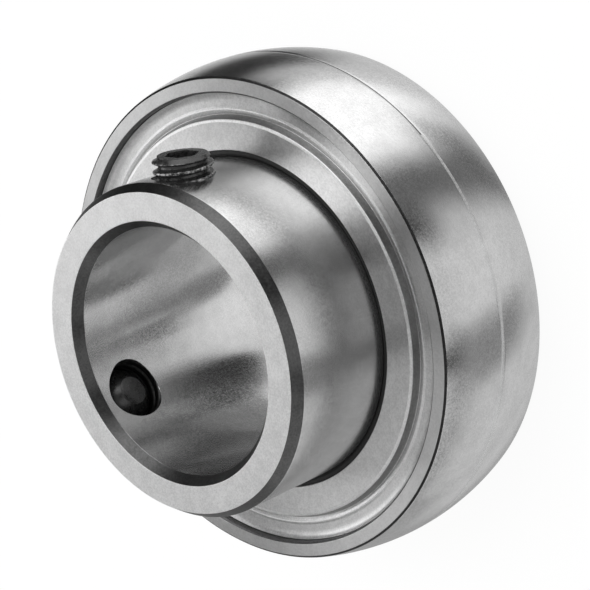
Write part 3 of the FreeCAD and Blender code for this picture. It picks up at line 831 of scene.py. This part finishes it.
def in_screw_hole(place):
    """Whether a place, in millimetres, is on or in one of the tapped holes."""
    for angle in SCREW_ANGLES:
        way = math.radians(angle)
        outwards = Vector((math.cos(way), math.sin(way), 0))
        centred = place - Vector((0, 0, SCREW_HEIGHT))
        along = centred.dot(outwards)
        away = (centred - outwards * along).length
        if along > 0 and away < HOLE_RADIUS + HOLE_THREAD + NEAR:
            return True
    return False


def inner_ring_zone(centre, normal):
    """The finish of a face of the inner ring."""
    r = math.hypot(centre.x, centre.y)
    z = centre.z
    # Painted shade inside the tapped holes
    if BORE_RADIUS + NEAR < r < INNER_RADIUS - NEAR and in_screw_hole(centre):
        return HOLE_SHADE_STEEL
    if z > NOSE_HEIGHT - NEAR:
        return NOSE_FACE_AND_HIGHLIGHT_STEEL
    if r > INNER_RADIUS - NEAR and abs(z) > INNER_GROOVE_EDGE:
        return NOSE_STEEL
    if r < BORE_RADIUS + NEAR:
        return BORE_STEEL
    if r > INNER_GROOVE_BOTTOM - NEAR and abs(z) < GROOVE_RADIUS:
        return RACEWAY_STEEL
    if z < BACK_FACE_ZONE - FACE_HEIGHT:
        return RING_FACE_STEEL
    # Painted shade on the chamfers at either end
    at_an_end = z > NOSE_HEIGHT - NOSE_CHAMFER_ZONE or z < BACK_CHAMFER_ZONE - FACE_HEIGHT
    if at_an_end and abs(normal.z) > CHAMFER_LEAN:
        return CHAMFER_SHADE_STEEL
    # The rest of the inner ring gets painted shade
    return PAINTED_SHADE_STEEL


def make_inner_ring():
    ring = turned("inner_ring_shell", inner_ring_section(), NOSE_STEEL)
    for angle in SCREW_ANGLES:
        tap = threaded("hole_tap", TAP_LENGTH, HOLE_RADIUS + HOLE_THREAD, HOLE_THREAD, 0, 0, 0, NOSE_STEEL)
        tap.data.transform(radial_place(angle, TAP_START, SCREW_HEIGHT))
        cut(ring, tap)
    finishes = [NOSE_STEEL, NOSE_FACE_AND_HIGHLIGHT_STEEL, BORE_STEEL, RACEWAY_STEEL, RING_FACE_STEEL, CHAMFER_SHADE_STEEL,
                PAINTED_SHADE_STEEL, HOLE_SHADE_STEEL]
    paint(ring, finishes, inner_ring_zone)
    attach(ring, "inner_unit")
    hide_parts("inner_ring")


def make_balls():
    for number in range(1, BALL_COUNT + 1):
        angle = TURN * (number - 1) / BALL_COUNT
        centre = Vector((math.cos(angle), math.sin(angle), 0)) * PITCH_RADIUS * MM
        work = bmesh.new()
        bmesh.ops.create_icosphere(work, subdivisions=BALL_DETAIL, radius=BALL_RADIUS * MM)
        bmesh.ops.translate(work, verts=work.verts, vec=centre)
        mesh = bpy.data.meshes.new(f"ball_{number}_polished")
        work.to_mesh(mesh)
        work.free()
        mesh.materials.append(BALL_STEEL)
        ball = face_outwards(add_object(f"ball_{number}_polished", mesh))
        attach(ball, f"ball_unit_{number}")
        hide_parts(f"ball_{number}")


def make_cage():
    finishes = {"cage_half_front": CAGE_STEEL, "cage_half_rear": CAGE_STEEL, "cage_rivets": RIVET_STEEL}
    for node, finish in finishes.items():
        piece = smooth_copy(node, node + "_pressed", finish)
        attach(piece, "cage_unit")
        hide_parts(node)


def seal_plate_zone(centre, normal):
    """The finish of a seal plate's face: painted shade on the step's wall, and a painted highlight on its
    edge and on the ridge.
    """
    r = math.hypot(centre.x, centre.y)
    # Painted shade on the step's wall
    if STEP_RADIUS < r < STEP_ZONE_RADIUS and abs(normal.z) < STEP_WALL_LEAN:
        return STEP_SHADE_STEEL
    # A painted highlight on the ridge and on the step's edge
    if abs(r - RIDGE_RADIUS) < RIDGE_HIGHLIGHT_HALF_WIDTH or -STEP_FALL_WIDTH < r - STEP_RADIUS < NEAR:
        return NOSE_FACE_AND_HIGHLIGHT_STEEL
    return PLATE_STEEL


def make_seals():
    for side, turn in (("front", 0), ("rear", math.pi)):
        plate = turned(f"seal_plate_{side}_pressed", seal_plate_section(), PLATE_STEEL)
        paint(plate, [PLATE_STEEL, STEP_SHADE_STEEL, NOSE_FACE_AND_HIGHLIGHT_STEEL], seal_plate_zone)
        lip = turned(f"seal_lip_{side}_moulded", seal_lip_section(), RUBBER)
        for piece, node, slot in ((plate, "seal_plate", "seal_sheet"), (lip, "seal_lip", "seal_rubber")):
            piece.data.transform(Matrix.Rotation(turn, 4, "X"))
            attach(piece, "outer_unit")
            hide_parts(f"{node}_{side}")


def make_set_screws():
    hexagon = SOCKET_WIDTH / math.sqrt(3)
    floor = SCREW_LENGTH - SOCKET_DEPTH
    above = SCREW_LENGTH + OVERSHOOT
    hexagon_punch = [(0, floor - SOCKET_DRILL_DEPTH), (SOCKET_WIDTH / 2, floor), (hexagon, floor),
                     (hexagon, above), (0, above)]
    cup_slope = CUP_DEPTH / CUP_RADIUS
    cup_drill = [(0, -OVERSHOOT), (CUP_RADIUS + OVERSHOOT / cup_slope, -OVERSHOOT), (0, CUP_DEPTH)]
    for number, angle in enumerate(SCREW_ANGLES, start=1):
        finish = blackened(number, angle)
        screw = threaded(f"set_screw_{number}_threaded", SCREW_LENGTH, SCREW_CREST, THREAD_DEPTH,
                         SCREW_TIP_CHAMFER, SCREW_TOP_CHAMFER, THREAD_START, finish)
        cut(screw, spindle("hexagon_punch", hexagon_punch, 6))
        cut(screw, spindle("cup_drill", cup_drill, CUP_SIDES))
        screw.data.transform(radial_place(angle, SCREW_TIP, SCREW_HEIGHT))
        screw.data.materials.clear()
        screw.data.materials.append(finish)
        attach(screw, f"screw_unit_{number}")
        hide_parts(f"set_screw_{number}")


# Studio
def card(nodes, base, azimuth, elevation, centre, half_width, low, high, edge, level):
    """A soft-edged field of the surroundings, between two elevations and about an azimuth."""
    turned_by = nodes.math("FLOORED_MODULO", nodes.math("ADD", azimuth, 540 - centre), 360.0)
    wrapped = nodes.math("SUBTRACT", turned_by, 180.0)
    aside = nodes.ramp(nodes.math("ABSOLUTE", wrapped), half_width + edge, max(half_width - edge, 0))
    rising = nodes.ramp(elevation, low - edge, low + edge)
    falling = nodes.ramp(elevation, high + edge, high - edge)
    share = nodes.math("MULTIPLY", aside, nodes.math("MULTIPLY", rising, falling))
    return nodes.mix(share, base, level)


# What the steel reflects: azimuth, half width, lowest and highest elevation, edge (degrees), and level.
# A later card covers an earlier one.
CARDS = {
    "light table": (0, 180, -110, -27, 4, 0.63),
    "left wall": (194, 50, -20, 25, 5, 0.72),
    "far wall": (172, 60, 40, 70, 5, 0.72),
    "near wall": (275, 22, -17, 52, 5, 0.7),
    "overhead": (26, 53, 36, 86, 15, 1.9),
    "top light": (89, 20, 18, 44, 5, 1.9),
    "dark side": (58, 15, -49, 61, 6, 0.03),
    "lit table": (104, 14, -64, -38, 7, 1.15),
    "low back": (139, 14, -64, -36, 6, 0.36),
    "back dark": (146, 33, -38, 33, 4, 0.36),
    "dark ceiling": (295, 54, 49, 93, 6, 0.02),
    "main softbox": (352, 30, -63, 46, 8, 1.3),
    "near bright": (276, 17, -61, -19, 6, 0.71),
    "near flag": (321, 12, -58, 57, 10, 0.14),
    "low flag": (335, 25, -95, -48, 15, 0.13),
    "far flag": (244, 13, -65, -30, 7, 0.24),
}
UNLIT = 0.02
# Glowing cards just below the bore's back opening, seen in reflections only: painted shade of the table
# under the bearing, and a painted pool of light that falls through the bore. The level and the corners of
# each, in millimetres
BORE_CARDS = {
    "shade": (0.04, ((2.5, 1.2), (9.0, -5.0), (17.0, -5.0), (17.0, 7.0), (2.0, 7.0), (-0.4, 4.6))),
    "half_shade": (0.24, ((2.0, 7.0), (17.0, 7.0), (17.0, 17.0), (-2.0, 17.0), (-2.0, 12.0))),
    "left_shade": (0.06, ((-5.5, -7.2), (-5.5, -17.0), (-0.5, -17.0), (-0.5, -7.2))),
    "low_grey": (0.4, ((-0.5, -9.5), (-0.5, -17.0), (5.5, -17.0), (5.5, -9.5))),
    "left_grey": (0.4, ((-17.0, -8.0), (-8.4, -8.0), (-8.4, 9.5), (-17.0, 9.5))),
    "patch": (1.0, ((-3.5, -5.6), (3.4, -5.6), (3.4, -1.5), (2.4, 1.1), (-0.6, 4.4), (-2.0, 7.0),
                    (-3.5, 7.0))),
}
BORE_CARD_HEIGHT = -12.0
# What other rays see, the table (its reach is in metres), and the lamp (its place is in metres)
AMBIENT = 0.85
TABLE_REACH = 3.0
TABLE_TONE = 0.9
TABLE_GLOW = 0.93
LAMP_SIZE = 0.5
LAMP_ENERGY = 2.0
LAMP_PLACE = (0.25, 0.15, 0.6)


def make_world():
    """The studio's surroundings: white to the camera, even to the light, and the cards to reflections."""
    world = bpy.data.worlds.new("studio")
    bpy.context.scene.world = world
    world.use_nodes = True
    tree = world.node_tree
    tree.nodes.clear()
    nodes = Tree(tree)
    way = nodes.split(nodes.add("ShaderNodeTexCoord").outputs["Generated"])
    azimuth = nodes.math("DEGREES", nodes.math("ARCTAN2", way[1], way[0]))
    elevation = nodes.math("DEGREES", nodes.math("ARCSINE", way[2]))
    level = UNLIT
    for centre, half_width, low, high, edge, strength in CARDS.values():
        level = card(nodes, level, azimuth, elevation, centre, half_width, low, high, edge, strength)
    path = nodes.add("ShaderNodeLightPath").outputs
    seen = nodes.math("MAXIMUM", path["Is Camera Ray"], path["Is Transmission Ray"])
    ambient = nodes.mix(seen, AMBIENT, 1.0)
    strength = nodes.mix(path["Is Glossy Ray"], ambient, level)
    light = nodes.add("ShaderNodeBackground", {"Color": grey(1.0), "Strength": strength})
    out = nodes.add("ShaderNodeOutputWorld", {"Surface": light.outputs[0]})
    out.is_active_output = True


def make_floor():
    """A white table under the bearing, with a light shadow. Reflections look past it."""
    mesh = bpy.data.meshes.new("table")
    far = TABLE_REACH
    low = -FACE_HEIGHT * MM
    corners = [(-far, -far, low), (far, -far, low), (far, far, low), (-far, far, low)]
    mesh.from_pydata(corners, [], [(0, 1, 2, 3)])
    table = add_object("table", mesh)
    material = bpy.data.materials.new("white_table")
    material.use_nodes = True
    tree = material.node_tree
    tree.nodes.clear()
    nodes = Tree(tree)
    paper = nodes.add("ShaderNodeBsdfDiffuse", {"Color": grey(TABLE_TONE)})
    glow = nodes.add("ShaderNodeEmission", {"Color": grey(1.0), "Strength": 1.0})
    path = nodes.add("ShaderNodeLightPath").outputs
    share = nodes.math("MULTIPLY", path["Is Camera Ray"], TABLE_GLOW)
    mixed = nodes.add("ShaderNodeMixShader", {0: share, 1: paper.outputs[0], 2: glow.outputs[0]})
    nodes.add("ShaderNodeOutputMaterial", {"Surface": mixed.outputs[0]})
    mesh.materials.append(material)
    table.visible_glossy = False


def make_bore_cards():
    """Glowing cards below the bore's back opening, for its reflections alone: painted shade and a painted
    pool of light.
    """
    for name, (level, outline) in BORE_CARDS.items():
        mesh = bpy.data.meshes.new(f"bore_card_{name}")
        corners = [(x * MM, y * MM, BORE_CARD_HEIGHT * MM) for x, y in outline]
        mesh.from_pydata(corners, [], [tuple(range(len(corners)))])
        piece = add_object(f"bore_card_{name}", mesh)
        material = bpy.data.materials.new(f"bore_painted_light_{name}")
        material.use_nodes = True
        material.node_tree.nodes.clear()
        nodes = Tree(material.node_tree)
        # The card glows at its level: painted shade where low, a painted pool of light where high
        paper = nodes.add("ShaderNodeEmission", {"Color": grey(1.0), "Strength": level})
        nodes.add("ShaderNodeOutputMaterial", {"Surface": paper.outputs[0]})
        mesh.materials.append(material)
        piece.visible_camera = False
        piece.visible_diffuse = False
        piece.visible_transmission = False
        piece.visible_shadow = False


def make_lamp():
    """One soft lamp overhead. Reflections don't see it, because the cards give them."""
    lamp = bpy.data.lights.new("overhead", "AREA")
    lamp.shape = "DISK"
    lamp.size = LAMP_SIZE
    lamp.energy = LAMP_ENERGY
    overhead = bpy.data.objects.new("overhead", lamp)
    bpy.context.scene.collection.objects.link(overhead)
    overhead.location = LAMP_PLACE
    overhead.rotation_euler = Vector(overhead.location).to_track_quat("Z", "Y").to_euler()
    overhead.visible_glossy = False


def make_camera():
    """The camera at the photograph's place."""
    look = Vector(CAMERA_LOOK)
    up = Vector(CAMERA_UP)
    right = look.cross(up)
    camera = bpy.data.objects.new("camera", bpy.data.cameras.new("camera"))
    bpy.context.scene.collection.objects.link(camera)
    place = Matrix((right, up, -look)).transposed().to_4x4()
    place.translation = Vector(CAMERA_PLACE) * MM
    camera.matrix_world = place
    camera.data.lens = LENS
    camera.data.sensor_width = SENSOR_WIDTH
    camera.data.clip_start = CLIP_START
    bpy.context.scene.camera = camera


make_outer_ring()
make_inner_ring()
make_balls()
make_cage()
make_seals()
make_set_screws()
make_world()
make_floor()
make_bore_cards()
make_lamp()
make_camera()
bpy.context.scene.view_settings.view_transform = "Standard"
